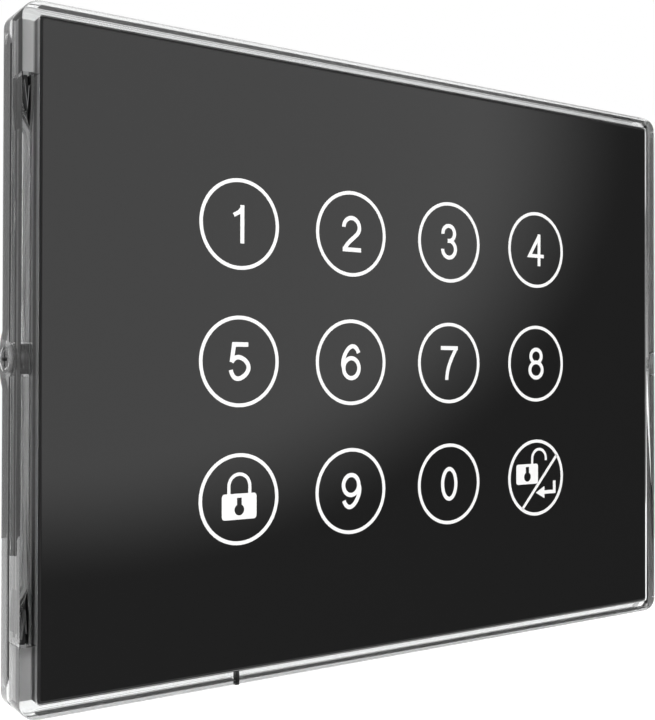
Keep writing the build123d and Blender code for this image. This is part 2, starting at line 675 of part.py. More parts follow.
# ------------------------------------------------------------------- terminal block
TERMINAL_WAYS = 4
WAY_PITCH = 5.6
TERMINAL_BACK_Y = 20.2
WAY_X = [TERMINAL_X + WAY_PITCH * (way - (TERMINAL_WAYS - 1) / 2) for way in range(TERMINAL_WAYS)]
BUTTON_Z = TERMINAL_Z + 2.7
WIRE_Z = TERMINAL_Z - 2.6
BUTTON_W = 3.4
BUTTON_H = 3.6
BUTTON_DEEP = 5.0
with BuildPart() as terminal_block:
    with BuildSketch(facing(TERMINAL_BACK_Y)):
        with Locations((TERMINAL_X, TERMINAL_Z)):
            RectangleRounded(TERMINAL_W, TERMINAL_H, 0.6)
    extrude(amount=TERMINAL_BACK_Y - MAIN_BACK_Y)
    with BuildSketch(facing(TERMINAL_BACK_Y)):
        for way_x in WAY_X:
            with Locations((way_x, BUTTON_Z)):
                Rectangle(BUTTON_W + 2 * FIT, BUTTON_H + 2 * FIT)
            with Locations((way_x, WIRE_Z)):
                Circle(1.5)
    extrude(amount=BUTTON_DEEP + 1.9, mode=Mode.SUBTRACT)
finish(terminal_block.part, "terminal_block")

for way, way_x in enumerate(WAY_X):
    with BuildPart() as terminal_button:
        button_back_y = TERMINAL_BACK_Y + 0.4
        with BuildSketch(facing_at(way_x, button_back_y, BUTTON_Z)):
            RectangleRounded(BUTTON_W, BUTTON_H, 0.3)
        extrude(amount=BUTTON_DEEP)
        with BuildSketch(facing_at(way_x, button_back_y, BUTTON_Z)):
            Rectangle(2.2, 0.6)
        extrude(amount=0.5, mode=Mode.SUBTRACT)
    finish(terminal_button.part, f"terminal_button_{way + 1}")

with BuildPart() as terminal_clamps:
    with BuildSketch(facing(TERMINAL_BACK_Y - BUTTON_DEEP - 1.9 + 0.8)):
        for way_x in WAY_X:
            with Locations((way_x, WIRE_Z)):
                Circle(1.45)
                Rectangle(0.9, 1.6, mode=Mode.SUBTRACT)
    extrude(amount=0.8)
finish(terminal_clamps.part, "terminal_clamps")

# ------------------------------------------------- address selector and program button
with BuildPart() as selector_body:
    with BuildSketch(facing_at(SELECTOR[0], MAIN_BACK_Y + 5.2, SELECTOR[1])):
        Rectangle(10.0, 10.0)
    extrude(amount=5.2)
    with BuildSketch(facing_at(SELECTOR[0], MAIN_BACK_Y + 5.2, SELECTOR[1])):
        Circle(3.25)
    extrude(amount=2.6, mode=Mode.SUBTRACT)
finish(selector_body.part, "selector_body")

with BuildPart() as selector_rotor:
    rotor_back_y = MAIN_BACK_Y + 5.6
    with BuildSketch(facing_at(SELECTOR[0], rotor_back_y, SELECTOR[1])):
        Circle(3.2)
    extrude(amount=2.7)
    with BuildSketch(facing_at(SELECTOR[0], rotor_back_y, SELECTOR[1])):
        Rectangle(1.0, 4.4)
        with Locations((0, 2.0)):
            RegularPolygon(1.1, 3, rotation=90)
    extrude(amount=1.0, mode=Mode.SUBTRACT)
finish(selector_rotor.part, "selector_rotor")

with BuildPart() as program_body:
    with BuildSketch(facing_at(PROGRAM[0], MAIN_BACK_Y + 3.6, PROGRAM[1])):
        RectangleRounded(6.0, 6.0, 0.5)
    extrude(amount=3.6)
    with BuildSketch(facing_at(PROGRAM[0], MAIN_BACK_Y + 3.6, PROGRAM[1])):
        Circle(1.8)
    extrude(amount=1.6, mode=Mode.SUBTRACT)
finish(program_body.part, "program_body")

with BuildPart() as program_button:
    with BuildSketch(facing_at(PROGRAM[0], CUP_BACK_Y - 0.4, PROGRAM[1])):
        Circle(1.75)
    extrude(amount=CUP_BACK_Y - 0.4 - (MAIN_BACK_Y + 3.6 - 0.7))
    fillet(program_button.faces().sort_by(Axis.Y)[-1].edges(), 0.3)
finish(program_button.part, "program_button")

# ------------------------------------------------------------------- tamper switch
TAMPER_BODY_Y = 0.9
TAMPER_TONGUE_Y = 3.4
with BuildPart() as tamper_body:
    with BuildSketch(facing_at(TAMPER_X, TAMPER_BODY_Y, TAMPER_Z)):
        RectangleRounded(5.4, 5.4, 0.3)
    extrude(amount=TAMPER_BODY_Y - BOARD_BACK_Y)
    with BuildSketch(facing_at(TAMPER_X, TAMPER_BODY_Y, TAMPER_Z)):
        Circle(1.35)
    extrude(amount=3.0, mode=Mode.SUBTRACT)
finish(tamper_body.part, "tamper_body")

TAMPER_TIP_Y = TAMPER_TONGUE_Y - FIT
with BuildPart() as tamper_plunger:
    with BuildSketch(facing_at(TAMPER_X, TAMPER_TIP_Y, TAMPER_Z)):
        Circle(1.3)
    extrude(amount=TAMPER_TIP_Y + 1.5)
    fillet(tamper_plunger.faces().sort_by(Axis.Y)[-1].edges(), 0.5)
finish(tamper_plunger.part, "tamper_plunger")

# ---------------------------------------------------------------------- wall plate
SEAL_SIDE_IN = 1.9             # inner edge of the seal's side runs, from the rim's outer edge
SEAL_TOP_IN = 3.7              # the same for its top and bottom runs
SEAL_W = 0.9
SEAL_DEEP = 0.6
BULGE_Z = 4.8


def draw_seal():
    """A ring of seal, that stops short of the lock screw bosses."""
    seal_x = OUT_X - SEAL_SIDE_IN
    seal_z = OUT_Z - SEAL_TOP_IN
    RectangleRounded(2 * (seal_x + SEAL_W), 2 * (seal_z + SEAL_W), 1.6)
    RectangleRounded(2 * seal_x, 2 * seal_z, 0.7, mode=Mode.SUBTRACT)
    Rectangle(2 * OUT_X, 2 * (BOSS_R + 0.6), mode=Mode.SUBTRACT)


with BuildPart() as wall_rim:
    with BuildSketch(facing(0)):
        RectangleRounded(2 * OUT_X, 2 * OUT_Z, CORNER_R)
        Rectangle(2 * PLATE_X, 2 * PLATE_Z, mode=Mode.SUBTRACT)
    extrude(amount=RIM_DEPTH)
    rim_front = wall_rim.faces().sort_by(Axis.Y)[0]
    fillet(rim_front.outer_wire().edges(), 0.45)
    # seal groove
    with BuildSketch(facing(0)):
        draw_seal()
    extrude(amount=SEAL_DEEP, mode=Mode.SUBTRACT)
    for side in SIDES:
        # swelling of the rim and the boss of the lock screw
        with BuildSketch(facing(0)):
            with BuildLine():
                swell = ThreePointArc(
                    (side * (OUT_X - 0.25), -BULGE_Z),
                    (side * BOSS_OUT_X, 0),
                    (side * (OUT_X - 0.25), BULGE_Z),
                )
                Line(swell @ 1, swell @ 0)
            make_face()
        extrude(amount=RIM_DEPTH)
        with BuildSketch(along_x(side * BOSS_IN_X, LOCK_Y, 0, side)):
            Circle(BOSS_R)
        extrude(amount=BOSS_OUT_X - BOSS_IN_X)
        with BuildSketch(along_x(side * BOSS_IN_X, LOCK_Y, 0, side)):
            Circle(1.05)
        extrude(amount=4, mode=Mode.SUBTRACT)
        with BuildSketch(along_x(side * 60.0, LOCK_Y, 0, side)):
            Circle(1.6)
        extrude(amount=4, mode=Mode.SUBTRACT)
finish(wall_rim.part, "wall_rim")

with BuildPart() as wall_seal:
    with BuildSketch(facing(0)):
        draw_seal()
    extrude(amount=SEAL_DEEP)
finish(wall_seal.part, "wall_seal")

DISH_R = 5.2
DISH_WALL = 1.0
DISH_X = 43.0
DISH_DEEP = 2.2
SLOT_R = 2.0
SLOT_L = 5.4
APERTURE = 7.0
NOTCH_IN = 2.4
with BuildPart() as wall_plate:
    with BuildSketch(facing(0)):
        Rectangle(2 * PLATE_X, 2 * PLATE_Z)
        Rectangle(2 * (CUP_X + 0.7), 2 * (CUP_Z + 0.7), mode=Mode.SUBTRACT)
        with Locations(*[(sx * POST_X, sz * POST_Z) for sx, sz in CORNERS]):
            Circle(POST_R + FIT, mode=Mode.SUBTRACT)
        with Locations((TAMPER_X, TAMPER_Z)):
            Rectangle(APERTURE, APERTURE, mode=Mode.SUBTRACT)
    extrude(amount=PLATE_T)
    # groove for the seal
    with BuildSketch(facing(0)):
        draw_seal()
    extrude(amount=SEAL_DEEP, mode=Mode.SUBTRACT)
    # dished seats for the wall box screws
    for side in SIDES:
        with BuildSketch(facing_at(side * DISH_X, DISH_DEEP, 0)):
            Circle(DISH_R)
        extrude(amount=DISH_DEEP)
        with BuildSketch(facing_at(side * DISH_X, DISH_DEEP - PLATE_T, 0)):
            Circle(DISH_R - DISH_WALL)
        extrude(amount=DISH_DEEP, mode=Mode.SUBTRACT)
        with BuildSketch(facing_at(side * BOX_SCREW_X, DISH_DEEP, 0)):
            SlotOverall(SLOT_L, 2 * SLOT_R)
        extrude(amount=PLATE_T, mode=Mode.SUBTRACT)
        # notch for the boss and the tip of the lock screw
        with BuildSketch(facing_at(side * (PLATE_X - NOTCH_IN / 2), 0, 0)):
            Rectangle(NOTCH_IN, 2 * (BOSS_R + 0.3))
        extrude(amount=PLATE_T, mode=Mode.SUBTRACT)
    # bent tongue that holds the tamper plunger in
    tongue_z = TAMPER_Z - APERTURE / 2
    with BuildSketch(facing_at(TAMPER_X, TAMPER_TONGUE_Y, tongue_z - 0.5)):
        Rectangle(5.0, 1.0)
    extrude(amount=TAMPER_TONGUE_Y)
    with BuildSketch(facing_at(TAMPER_X, TAMPER_TONGUE_Y + 1.0, TAMPER_Z - 1.25)):
        Rectangle(5.0, APERTURE + 0.5)
    extrude(amount=1.0)
finish(wall_plate.part, "wall_plate")

# ---------------------------------------------------------------------- lock screws
HEAD_R = 1.5
HEAD_T = 0.8
HEAD_OUT_X = BOSS_OUT_X - 0.1
for side, name in ((-1, "lock_screw_left"), (1, "lock_screw_right")):
    with BuildPart() as lock_screw:
        with BuildSketch(along_x(side * (HEAD_OUT_X - HEAD_T), LOCK_Y, 0, side)):
            Circle(HEAD_R)
        extrude(amount=HEAD_T)
        head_face = lock_screw.faces().sort_by(Axis.X)
        fillet((head_face[-1] if side > 0 else head_face[0]).edges(), 0.3)
        with BuildSketch(along_x(side * (HEAD_OUT_X - HEAD_T), LOCK_Y, 0, -side)):
            Circle(1.0)
        extrude(amount=HEAD_OUT_X - HEAD_T - BOSS_IN_X)
        with BuildSketch(along_x(side * HEAD_OUT_X, LOCK_Y, 0, -side)):
            cross_recess(2.0)
        extrude(amount=0.5, mode=Mode.SUBTRACT)
    finish(lock_screw.part, name)
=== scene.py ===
import json
import math

import bmesh
import bpy
from mathutils import Matrix, Vector


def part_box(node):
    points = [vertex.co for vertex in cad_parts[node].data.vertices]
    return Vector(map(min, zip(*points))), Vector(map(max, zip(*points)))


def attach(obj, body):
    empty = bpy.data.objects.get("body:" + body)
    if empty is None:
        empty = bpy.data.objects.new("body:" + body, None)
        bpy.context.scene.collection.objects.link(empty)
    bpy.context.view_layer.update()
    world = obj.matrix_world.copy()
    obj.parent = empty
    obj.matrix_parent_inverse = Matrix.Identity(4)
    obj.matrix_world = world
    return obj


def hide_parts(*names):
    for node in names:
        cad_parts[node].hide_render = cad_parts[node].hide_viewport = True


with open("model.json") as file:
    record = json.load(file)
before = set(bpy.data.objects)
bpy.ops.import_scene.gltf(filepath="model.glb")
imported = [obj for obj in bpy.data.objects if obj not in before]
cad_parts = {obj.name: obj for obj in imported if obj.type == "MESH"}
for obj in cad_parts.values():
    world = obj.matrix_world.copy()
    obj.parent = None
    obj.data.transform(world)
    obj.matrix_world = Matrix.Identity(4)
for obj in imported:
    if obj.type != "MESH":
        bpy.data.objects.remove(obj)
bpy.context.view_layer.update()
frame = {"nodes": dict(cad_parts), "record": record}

# Alarm keypad panel: black glass with printed ring keys, held in a clear polycarbonate
# frame on a clear-rimmed wall plate. Everything is in metres, placed from the frame's boxes.

MM = 0.001
nodes = frame["nodes"]

glass_lo, glass_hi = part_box("front_glass")
frame_lo, frame_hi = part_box("outer_frame")
FRONT_Y = glass_lo.y
FRAME_BACK_Y = frame_hi.y
GLASS_X = glass_hi.x
GLASS_Z = glass_hi.z
FRAME_SIDE = frame_hi.x - glass_hi.x       # width of the frame beside the glass
FRAME_W = frame_hi.z - glass_hi.z          # width of the frame above and below it
CORNER_IN = 0.3 * MM                       # radius of the glass edge line at a corner
RECESS_Z = 37.3 * MM                       # half length of the recess in the left side
STRIP_Z = 33.2 * MM                        # half length of the strip that lies in it

scene = bpy.context.scene
scene.view_settings.view_transform = "Standard"


# ------------------------------------------------------------------ material nodes
class Nodes:
    """Short calls for building one node tree."""

    def __init__(self, tree):
        self.tree = tree
        self.links = tree.links

    def add(self, kind, **values):
        node = self.tree.nodes.new(kind)
        for key, value in values.items():
            setattr(node, key, value)
        return node

    def put(self, socket, value):
        if isinstance(value, bpy.types.NodeSocket):
            self.links.new(value, socket)
        else:
            socket.default_value = value

    def maths(self, operation, a, b=0.0, clamp=False):
        node = self.add("ShaderNodeMath", operation=operation, use_clamp=clamp)
        self.put(node.inputs[0], a)
        self.put(node.inputs[1], b)
        return node.outputs[0]

    def ramp(self, value, start, end, low=0.0, high=1.0):
        """Smooth step of a value, from low at start to high at end."""
        node = self.add("ShaderNodeMapRange", interpolation_type="SMOOTHSTEP")
        self.put(node.inputs["Value"], value)
        node.inputs["From Min"].default_value = start
        node.inputs["From Max"].default_value = end
        node.inputs["To Min"].default_value = low
        node.inputs["To Max"].default_value = high
        return node.outputs["Result"]

    def noise(self, scale, detail=4.0, stretch=(1.0, 1.0, 1.0)):
        """Noise in object space; scale is in features per metre."""
        where = self.add("ShaderNodeTexCoord")
        turn = self.add("ShaderNodeMapping")
        turn.inputs["Scale"].default_value = stretch
        self.links.new(where.outputs["Object"], turn.inputs["Vector"])
        node = self.add("ShaderNodeTexNoise")
        node.inputs["Scale"].default_value = scale
        node.inputs["Detail"].default_value = detail
        self.links.new(turn.outputs["Vector"], node.inputs["Vector"])
        return node.outputs["Fac"]

    def mix(self, factor, a, b):
        node = self.add("ShaderNodeMix", data_type="RGBA")
        self.put(node.inputs["Factor"], factor)
        self.put(node.inputs["A"], a)
        self.put(node.inputs["B"], b)
        return node.outputs["Result"]

    def bump(self, height, distance, strength=1.0):
        node = self.add("ShaderNodeBump")
        node.inputs["Strength"].default_value = strength
        node.inputs["Distance"].default_value = distance
        self.links.new(height, node.inputs["Height"])
        return node.outputs["Normal"]


def grey(level, warm=0.0):
    """A grey, a touch warm where warm is above nothing."""
    return (level * (1 + warm), level, level * (1 - warm), 1.0)


def shader(name):
    """A new material, its Principled shader and its node builder."""
    material = bpy.data.materials.new(name)
    material.use_nodes = True
    return material, material.node_tree.nodes["Principled BSDF"], Nodes(material.node_tree)


def surface(name, color, rough, grain=0.0, scale=4000.0, spread=0.15, metal=0.0,
            stretch=(1.0, 1.0, 1.0)):
    """A solid finish: mottled colour, uneven gloss and a fine grain."""
    material, bsdf, make = shader(name)
    bsdf.inputs["Metallic"].default_value = metal
    fine = make.noise(scale, 3.0, stretch)
    broad = make.noise(scale / 40, 2.0, stretch)
    dark = tuple(channel * (1 - spread) for channel in color[:3]) + (1.0,)
    make.put(bsdf.inputs["Base Color"], make.mix(make.ramp(broad, 0.3, 0.7), dark, color))
    make.put(bsdf.inputs["Roughness"], make.ramp(fine, 0.25, 0.75, rough * 0.8, rough * 1.2))
    if grain:
        make.put(bsdf.inputs["Normal"], make.bump(fine, grain))
    return material


def clear_polycarbonate(name, clarity):
    """Clear moulded plastic, with the faintest flow marks and rubbed gloss."""
    material, bsdf, make = shader(name)
    bsdf.inputs["Base Color"].default_value = (0.985, 0.99, 0.99, 1.0)
    bsdf.inputs["Transmission Weight"].default_value = clarity
    bsdf.inputs["IOR"].default_value = 1.5
    rubbed = make.noise(1500.0, 3.0, (1.0, 1.0, 0.2))
    make.put(bsdf.inputs["Roughness"], make.ramp(rubbed, 0.35, 0.75, 0.0, 0.03))
    return material


def black_glass():
    """Polished glass, printed black behind, with faint smears in its gloss."""
    material, bsdf, make = shader("black_glass")
    smear = make.noise(60.0, 5.0, (1.0, 1.0, 0.5))
    speck = make.noise(9000.0, 1.0)
    tone = make.ramp(speck, 0.3, 0.7)
    make.put(bsdf.inputs["Base Color"], make.mix(tone, grey(0.0100), grey(0.0125)))
    polish = make.ramp(smear, 0.35, 0.7, 0.02, 0.05)
    # the round of the edge is ground, not polished
    facing = make.add("ShaderNodeSeparateXYZ")
    make.links.new(make.add("ShaderNodeNewGeometry").outputs["Normal"], facing.inputs["Vector"])
    ground = make.ramp(make.maths("ABSOLUTE", facing.outputs["Y"]), 0.97, 0.995, 0.55, 0.0)
    make.put(bsdf.inputs["Roughness"], make.maths("MAXIMUM", polish, ground))
    bsdf.inputs["IOR"].default_value = 1.5
    return material


def printed_ink():
    """Screen-printed white, with the slight mottle of an ink film."""
    material, bsdf, make = shader("white_ink")
    mottle = make.noise(7000.0, 3.0)
    make.put(bsdf.inputs["Base Color"], make.mix(mottle, grey(0.80, 0.005), grey(0.90, 0.005)))
    make.put(bsdf.inputs["Roughness"], make.ramp(mottle, 0.2, 0.8, 0.45, 0.6))
    make.put(bsdf.inputs["Normal"], make.bump(mottle, 0.004 * MM))
    return material


def bond_layers():
    """The glass edge, the black bond and the tray's edge, as bands in depth."""
    material, bsdf, make = shader("bond_layers")
    where = make.add("ShaderNodeTexCoord")
    axes = make.add("ShaderNodeSeparateXYZ")
    make.links.new(where.outputs["Object"], axes.inputs["Vector"])
    depth = make.maths("SUBTRACT", axes.outputs["Y"], FRONT_Y)
    ground = make.ramp(depth, 1.55 * MM, 1.75 * MM)
    tray = make.ramp(depth, 3.25 * MM, 3.45 * MM)
    speckle = make.noise(3000.0, 3.0)
    light = make.mix(speckle, grey(0.28), grey(0.34))
    black = make.mix(speckle, grey(0.006), grey(0.015))
    edge = make.mix(ground, light, black)
    make.put(bsdf.inputs["Base Color"], make.mix(tray, edge, light))
    make.put(bsdf.inputs["Roughness"], make.ramp(speckle, 0.2, 0.8, 0.4, 0.6))
    return material


def circuit_board():
    """Green solder mask over a pattern of copper tracks, in the plane of the board."""
    material, bsdf, make = shader("circuit_board")
    where = make.add("ShaderNodeTexCoord")
    turn = make.add("ShaderNodeMapping")
    turn.inputs["Rotation"].default_value = (math.radians(90), 0.0, 0.0)
    make.links.new(where.outputs["Object"], turn.inputs["Vector"])
    tracks = make.add("ShaderNodeTexBrick")
    make.links.new(turn.outputs["Vector"], tracks.inputs["Vector"])
    tracks.inputs["Scale"].default_value = 90.0
    tracks.inputs["Mortar Size"].default_value = 0.03
    tracks.inputs["Brick Width"].default_value = 0.9
    tracks.inputs["Row Height"].default_value = 0.18
    raised = tracks.outputs["Fac"]
    mask = (0.012, 0.10, 0.045, 1.0)
    copper = (0.03, 0.21, 0.09, 1.0)
    make.put(bsdf.inputs["Base Color"], make.mix(raised, mask, copper))
    make.put(bsdf.inputs["Roughness"], make.ramp(make.noise(2000.0), 0.3, 0.7, 0.25, 0.4))
    make.put(bsdf.inputs["Normal"], make.bump(raised, 0.03 * MM))
    return material


def foam(name, low, high):
    """Closed-cell foam."""
    material, bsdf, make = shader(name)
    cells = make.add("ShaderNodeTexVoronoi")
    cells.inputs["Scale"].default_value = 4000.0
    where = make.add("ShaderNodeTexCoord")
    make.links.new(where.outputs["Object"], cells.inputs["Vector"])
    near = cells.outputs["Distance"]
    make.put(bsdf.inputs["Base Color"], make.mix(near, grey(low), grey(high)))
    bsdf.inputs["Roughness"].default_value = 0.9
    make.put(bsdf.inputs["Normal"], make.bump(near, 0.05 * MM))
    return material


finishes = {
    "clear_polycarbonate": clear_polycarbonate("clear_polycarbonate", 1.0),
    "black_glass": black_glass(),
    "white_ink": printed_ink(),
    "circuit_board": circuit_board(),
    "seal_rubber": foam("seal_rubber", 0.015, 0.05),
    "grey_foam": foam("grey_foam", 0.38, 0.50),
    "black_plastic": surface("black_plastic", grey(0.010), 0.5, 0.01 * MM, 6000.0),
    "grey_plastic": surface("grey_plastic", grey(0.16), 0.4, 0.004 * MM, 6000.0, 0.08),
    "white_plastic": surface("white_plastic", grey(0.78, 0.01), 0.35, 0.004 * MM, 5000.0, 0.05),
    "green_plastic": surface("green_plastic", (0.03, 0.22, 0.10, 1.0), 0.5, 0.01 * MM, 5000.0),
    "blue_plastic": surface("blue_plastic", (0.04, 0.10, 0.32, 1.0), 0.45, 0.008 * MM, 5000.0),
    "orange_plastic": surface("orange_plastic", (0.70, 0.22, 0.03, 1.0), 0.45, 0.008 * MM, 5000.0),
    "copper": surface("copper", (0.80, 0.42, 0.26, 1.0), 0.3, 0.003 * MM, 3000.0, 0.2, 1.0),
    "brass_pins": surface("brass_pins", (0.85, 0.66, 0.30, 1.0), 0.25, 0.003 * MM, 5000.0, 0.15, 1.0),
    "satin_aluminium": surface("satin_aluminium", grey(0.45), 0.6, 0.004 * MM, 5000.0, 0.08, 0.1),
    "can_aluminium": surface("can_aluminium", grey(0.72), 0.3, 0.004 * MM, 4000.0, 0.1, 1.0),
    "spring_steel": surface("spring_steel", grey(0.20), 0.35, 0.003 * MM, 4000.0, 0.1, 1.0),
    "screw_steel": surface("screw_steel", grey(0.55), 0.25, 0.004 * MM, 4000.0, 0.15, 1.0),
    "plated_steel": surface("plated_steel", grey(0.60, 0.02), 0.32, 0.01 * MM, 900.0, 0.2, 1.0),
}
for part in frame["record"]["subparts"]:
    for place in nodes[part["node"]].material_slots:
        place.material = finishes[part["material_slot"]]
for place in nodes["wall_rim"].material_slots:
    place.material = clear_polycarbonate("milky_polycarbonate", 0.85)


# -------------------------------------------------------------------- mesh helpers
def new_piece(name, mesh, finish, slot, body, *replaced):
    """Link a finished mesh as a piece on a CAD body."""
    piece = bpy.data.objects.new(name, mesh)
    scene.collection.objects.link(piece)
    mesh.materials.append(finish)
    # faces on the second and third slots carry painted shade in black and a painted reflection tone
    # in satin grey
    if any(face.material_index for face in mesh.polygons):
        mesh.materials.append(finishes["black_plastic"])
        mesh.materials.append(finishes["satin_aluminium"])
    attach(piece, body)
    if replaced:
        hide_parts(*replaced)
    return piece


def finish_mesh(name, builder, sharp_angle=40.0):
    """Turn a bmesh into a mesh with outward normals and smooth rounds."""
    bmesh.ops.recalc_face_normals(builder, faces=builder.faces)
    mesh = bpy.data.meshes.new(name)
    builder.to_mesh(mesh)
    builder.free()
    for face in mesh.polygons:
        face.use_smooth = True
    mesh.set_sharp_from_angle(angle=math.radians(sharp_angle))
    return mesh


def round_points(centre, radius, start, end, steps):
    """Points of an arc in (offset, depth), angles in degrees."""
    points = []
    for step in range(steps + 1):
        angle = math.radians(start + (end - start) * step / steps)
        points.append((centre[0] + radius * math.cos(angle), centre[1] + radius * math.sin(angle)))
    return points


def sweep(builder, section, stations, closed=False):
    """Carry a closed section past stations of (x, z, angle, sign of z).

    The section is a function of how far round the corner a station stands, 0 above the
    glass and 1 beside it, that returns points of (offset, depth).
    """
    rows = []
    for x, z, angle, up in stations:
        profile = section(math.cos(angle) ** 2)
        rows.append([
            builder.verts.new((
                x + math.cos(angle) * (CORNER_IN + offset),
                FRONT_Y + depth,
                up * (z + math.sin(angle) * (CORNER_IN + offset)),
            ))
            for offset, depth in profile
        ])
    count = len(profile)
    pairs = list(zip(rows, rows[1:] + rows[:1])) if closed else list(zip(rows, rows[1:]))
    for row, following in pairs:
        for k in range(count):
            j = (k + 1) % count
            builder.faces.new((row[k], row[j], following[j], following[k]))
    if not closed:
        builder.faces.new(rows[0])
        builder.faces.new(rows[-1])


# The frame's corners are arcs about one centre, so that offsets stay parallel.
ARC_X = GLASS_X - CORNER_IN
ARC_Z = GLASS_Z - CORNER_IN
ARC_STEPS = 16


def corner_stations(x, start, end, up):
    """Stations of one corner arc."""
    return [
        (x, ARC_Z, math.radians(start + (end - start) * k / ARC_STEPS), up)
        for k in range(ARC_STEPS + 1)
    ]


ALL_CORNERS = (
    corner_stations(-ARC_X, 180, 90, 1)
    + corner_stations(ARC_X, 90, 0, 1)
    + corner_stations(ARC_X, 0, 90, -1)
    + corner_stations(-ARC_X, 90, 180, -1)
)


# ------------------------------------------------------------------ the clear frame
INNER = 0.1 * MM                           # frame's inner wall, from the glass edge
LIP = 0.12 * MM                            # small round at the inner edge
FRONT_ROUND = 0.4 * MM                     # round at the outer front edge, top and bottom
SIDE_ROUND = 0.18 * MM                     # the same at the sides
BACK_ROUND = 0.2 * MM
SUNK = 0.03 * MM                           # what lies behind the frame is sunk in it by this
FRAME_DEPTH = FRAME_BACK_Y - FRONT_Y + SUNK
SEAM = 0.02 * MM                           # hairline between the frame and its side web


def frame_section(beside):
    """Section of the clear frame, as (offset from the glass edge, depth)."""
    width = FRAME_W + (FRAME_SIDE - FRAME_W) * beside
    front = FRONT_ROUND + (SIDE_ROUND - FRONT_ROUND) * beside
    return (
        [(INNER, FRAME_DEPTH)]
        + round_points((INNER + LIP, LIP), LIP, 180, 270, 4)
        + round_points((width - front, front), front, 270, 360, 10)
        + round_points((width - BACK_ROUND, FRAME_DEPTH - BACK_ROUND), BACK_ROUND, 0, 90, 4)
    )


def make_frame():
    """The clear frame, open on the left between the ends of the side recess."""
    builder = bmesh.new()
    ends = [(-ARC_X, RECESS_Z, math.pi, up) for up in (1, -1)]
    sweep(builder, frame_section, ends[:1] + ALL_CORNERS + ends[1:])
    return clear_of_bosses("clear_frame", builder)


def prism(builder, outline, front, back):
    """A straight solid from a closed outline of (x, z) and two depths."""
    loops = [[builder.verts.new((x, FRONT_Y + depth, z)) for x, z in outline]
             for depth in (front, back)]
    for ring in loops:
        builder.faces.new(ring)
    for k in range(len(outline)):
        j = (k + 1) % len(outline)
        builder.faces.new((loops[0][k], loops[0][j], loops[1][j], loops[1][k]))


def clear_of_bosses(name, builder):
    """The mesh with the room for the lock screw bosses bored out along X, its walls given painted
    shade and a painted reflection tone.
    """
    piece = bpy.data.objects.new(name, finish_mesh(name, builder))
    drill_builder = bmesh.new()
    across = Matrix.Translation((0.0, BOSS_Y, 0.0)) @ Matrix.Rotation(math.pi / 2, 4, "Y")
    bmesh.ops.create_cone(drill_builder, cap_ends=True, segments=48, radius1=BOSS_GAP_R,
                          radius2=BOSS_GAP_R, depth=4 * GLASS_X, matrix=across)
    drill = bpy.data.objects.new("drill", finish_mesh("drill", drill_builder))
    for thing in (piece, drill):
        scene.collection.objects.link(thing)
    cut = piece.modifiers.new("cut", "BOOLEAN")
    cut.operation = "DIFFERENCE"
    cut.solver = "EXACT"
    cut.object = drill
    bpy.context.view_layer.update()
    mesh = bpy.data.meshes.new_from_object(piece.evaluated_get(bpy.context.evaluated_depsgraph_get()))
    for thing in (piece, drill):
        bpy.data.objects.remove(thing)
    mesh.name = name
    # the walls of the room get flat colour in place of the clear plastic's glints: black on the left,
    # painted shade standing for a dark streak round the lock screw, and mid-grey on the right, a
    # painted reflection tone
    for face in mesh.polygons:
        from_axis = math.hypot(face.center.y - BOSS_Y, face.center.z)
        if abs(from_axis - BOSS_GAP_R) < 0.1 * MM:
            face.material_index = 1 if face.center.x < 0 else 2
    return mesh


BOSS_Y = -2.0 * MM                         # axis of the lock screws
BOSS_GAP_R = 2.3 * MM
TAPER_Z = STRIP_Z - 3.6 * MM               # where the strips begin to narrow
END_Z = RECESS_Z - SEAM


def make_web():
    """The thin wall of the frame beside the glass, along the side recess."""
    wide, narrow = 1.25 * MM, 0.95 * MM
    outline = [(narrow, -END_Z), (narrow, -STRIP_Z), (wide, -TAPER_Z), (wide, TAPER_Z),
               (narrow, STRIP_Z), (narrow, END_Z), (INNER, END_Z), (INNER, -END_Z)]
    builder = bmesh.new()
    prism(builder, [(-GLASS_X - offset, z) for offset, z in outline], 0.0, FRAME_DEPTH)
    return clear_of_bosses("side_web", builder)


def make_strip():
    """The clear side strip, pointed at both ends, with a thin skin past its points."""
    inner, skin, outer = 1.35 * MM, FRAME_SIDE - 0.12 * MM, FRAME_SIDE
    outline = [(inner, -TAPER_Z), (skin, -STRIP_Z), (skin, -END_Z), (outer, -END_Z),
               (outer, END_Z), (skin, END_Z), (skin, STRIP_Z), (inner, TAPER_Z)]
    builder = bmesh.new()
    prism(builder, [(-GLASS_X - offset, z) for offset, z in outline], SET_BACK, FRAME_DEPTH)
    return clear_of_bosses("clear_strip", builder)


SET_BACK = 0.05 * MM                       # the strip's face stands this much behind the frame's
clear = finishes["clear_polycarbonate"]
new_piece("clear_frame", make_frame(), clear, "clear_polycarbonate", "front_unit", "outer_frame")
for part in (
    new_piece("side_web", make_web(), clear, "clear_polycarbonate", "front_unit"),
    new_piece("clear_strip", make_strip(), clear, "clear_polycarbonate", "front_unit", "side_strip"),
):
    edge_round = part.modifiers.new("edge_round", "BEVEL")
    edge_round.width = 0.05 * MM
    edge_round.segments = 3
    edge_round.limit_method = "ANGLE"


def make_bond():
    """A thin sleeve just inside the frame: what the clear plastic is bonded to."""
    front, back = 0.25 * MM, FRAME_DEPTH - 0.05 * MM
    out_face, in_face = INNER + 0.03 * MM, INNER - 0.06 * MM

    def section(beside):
        return [(in_face, back), (in_face, front), (out_face, front), (out_face, back)]

    builder = bmesh.new()
    sweep(builder, section, ALL_CORNERS, closed=True)
    return finish_mesh("bond_sleeve", builder)


new_piece("bond_sleeve", make_bond(), bond_layers(), "seal_rubber", "front_unit", "edge_bond")


BUSH_R = 1.88 * MM
BUSH_WALL = 0.16 * MM
BUSH_SIDES = 64


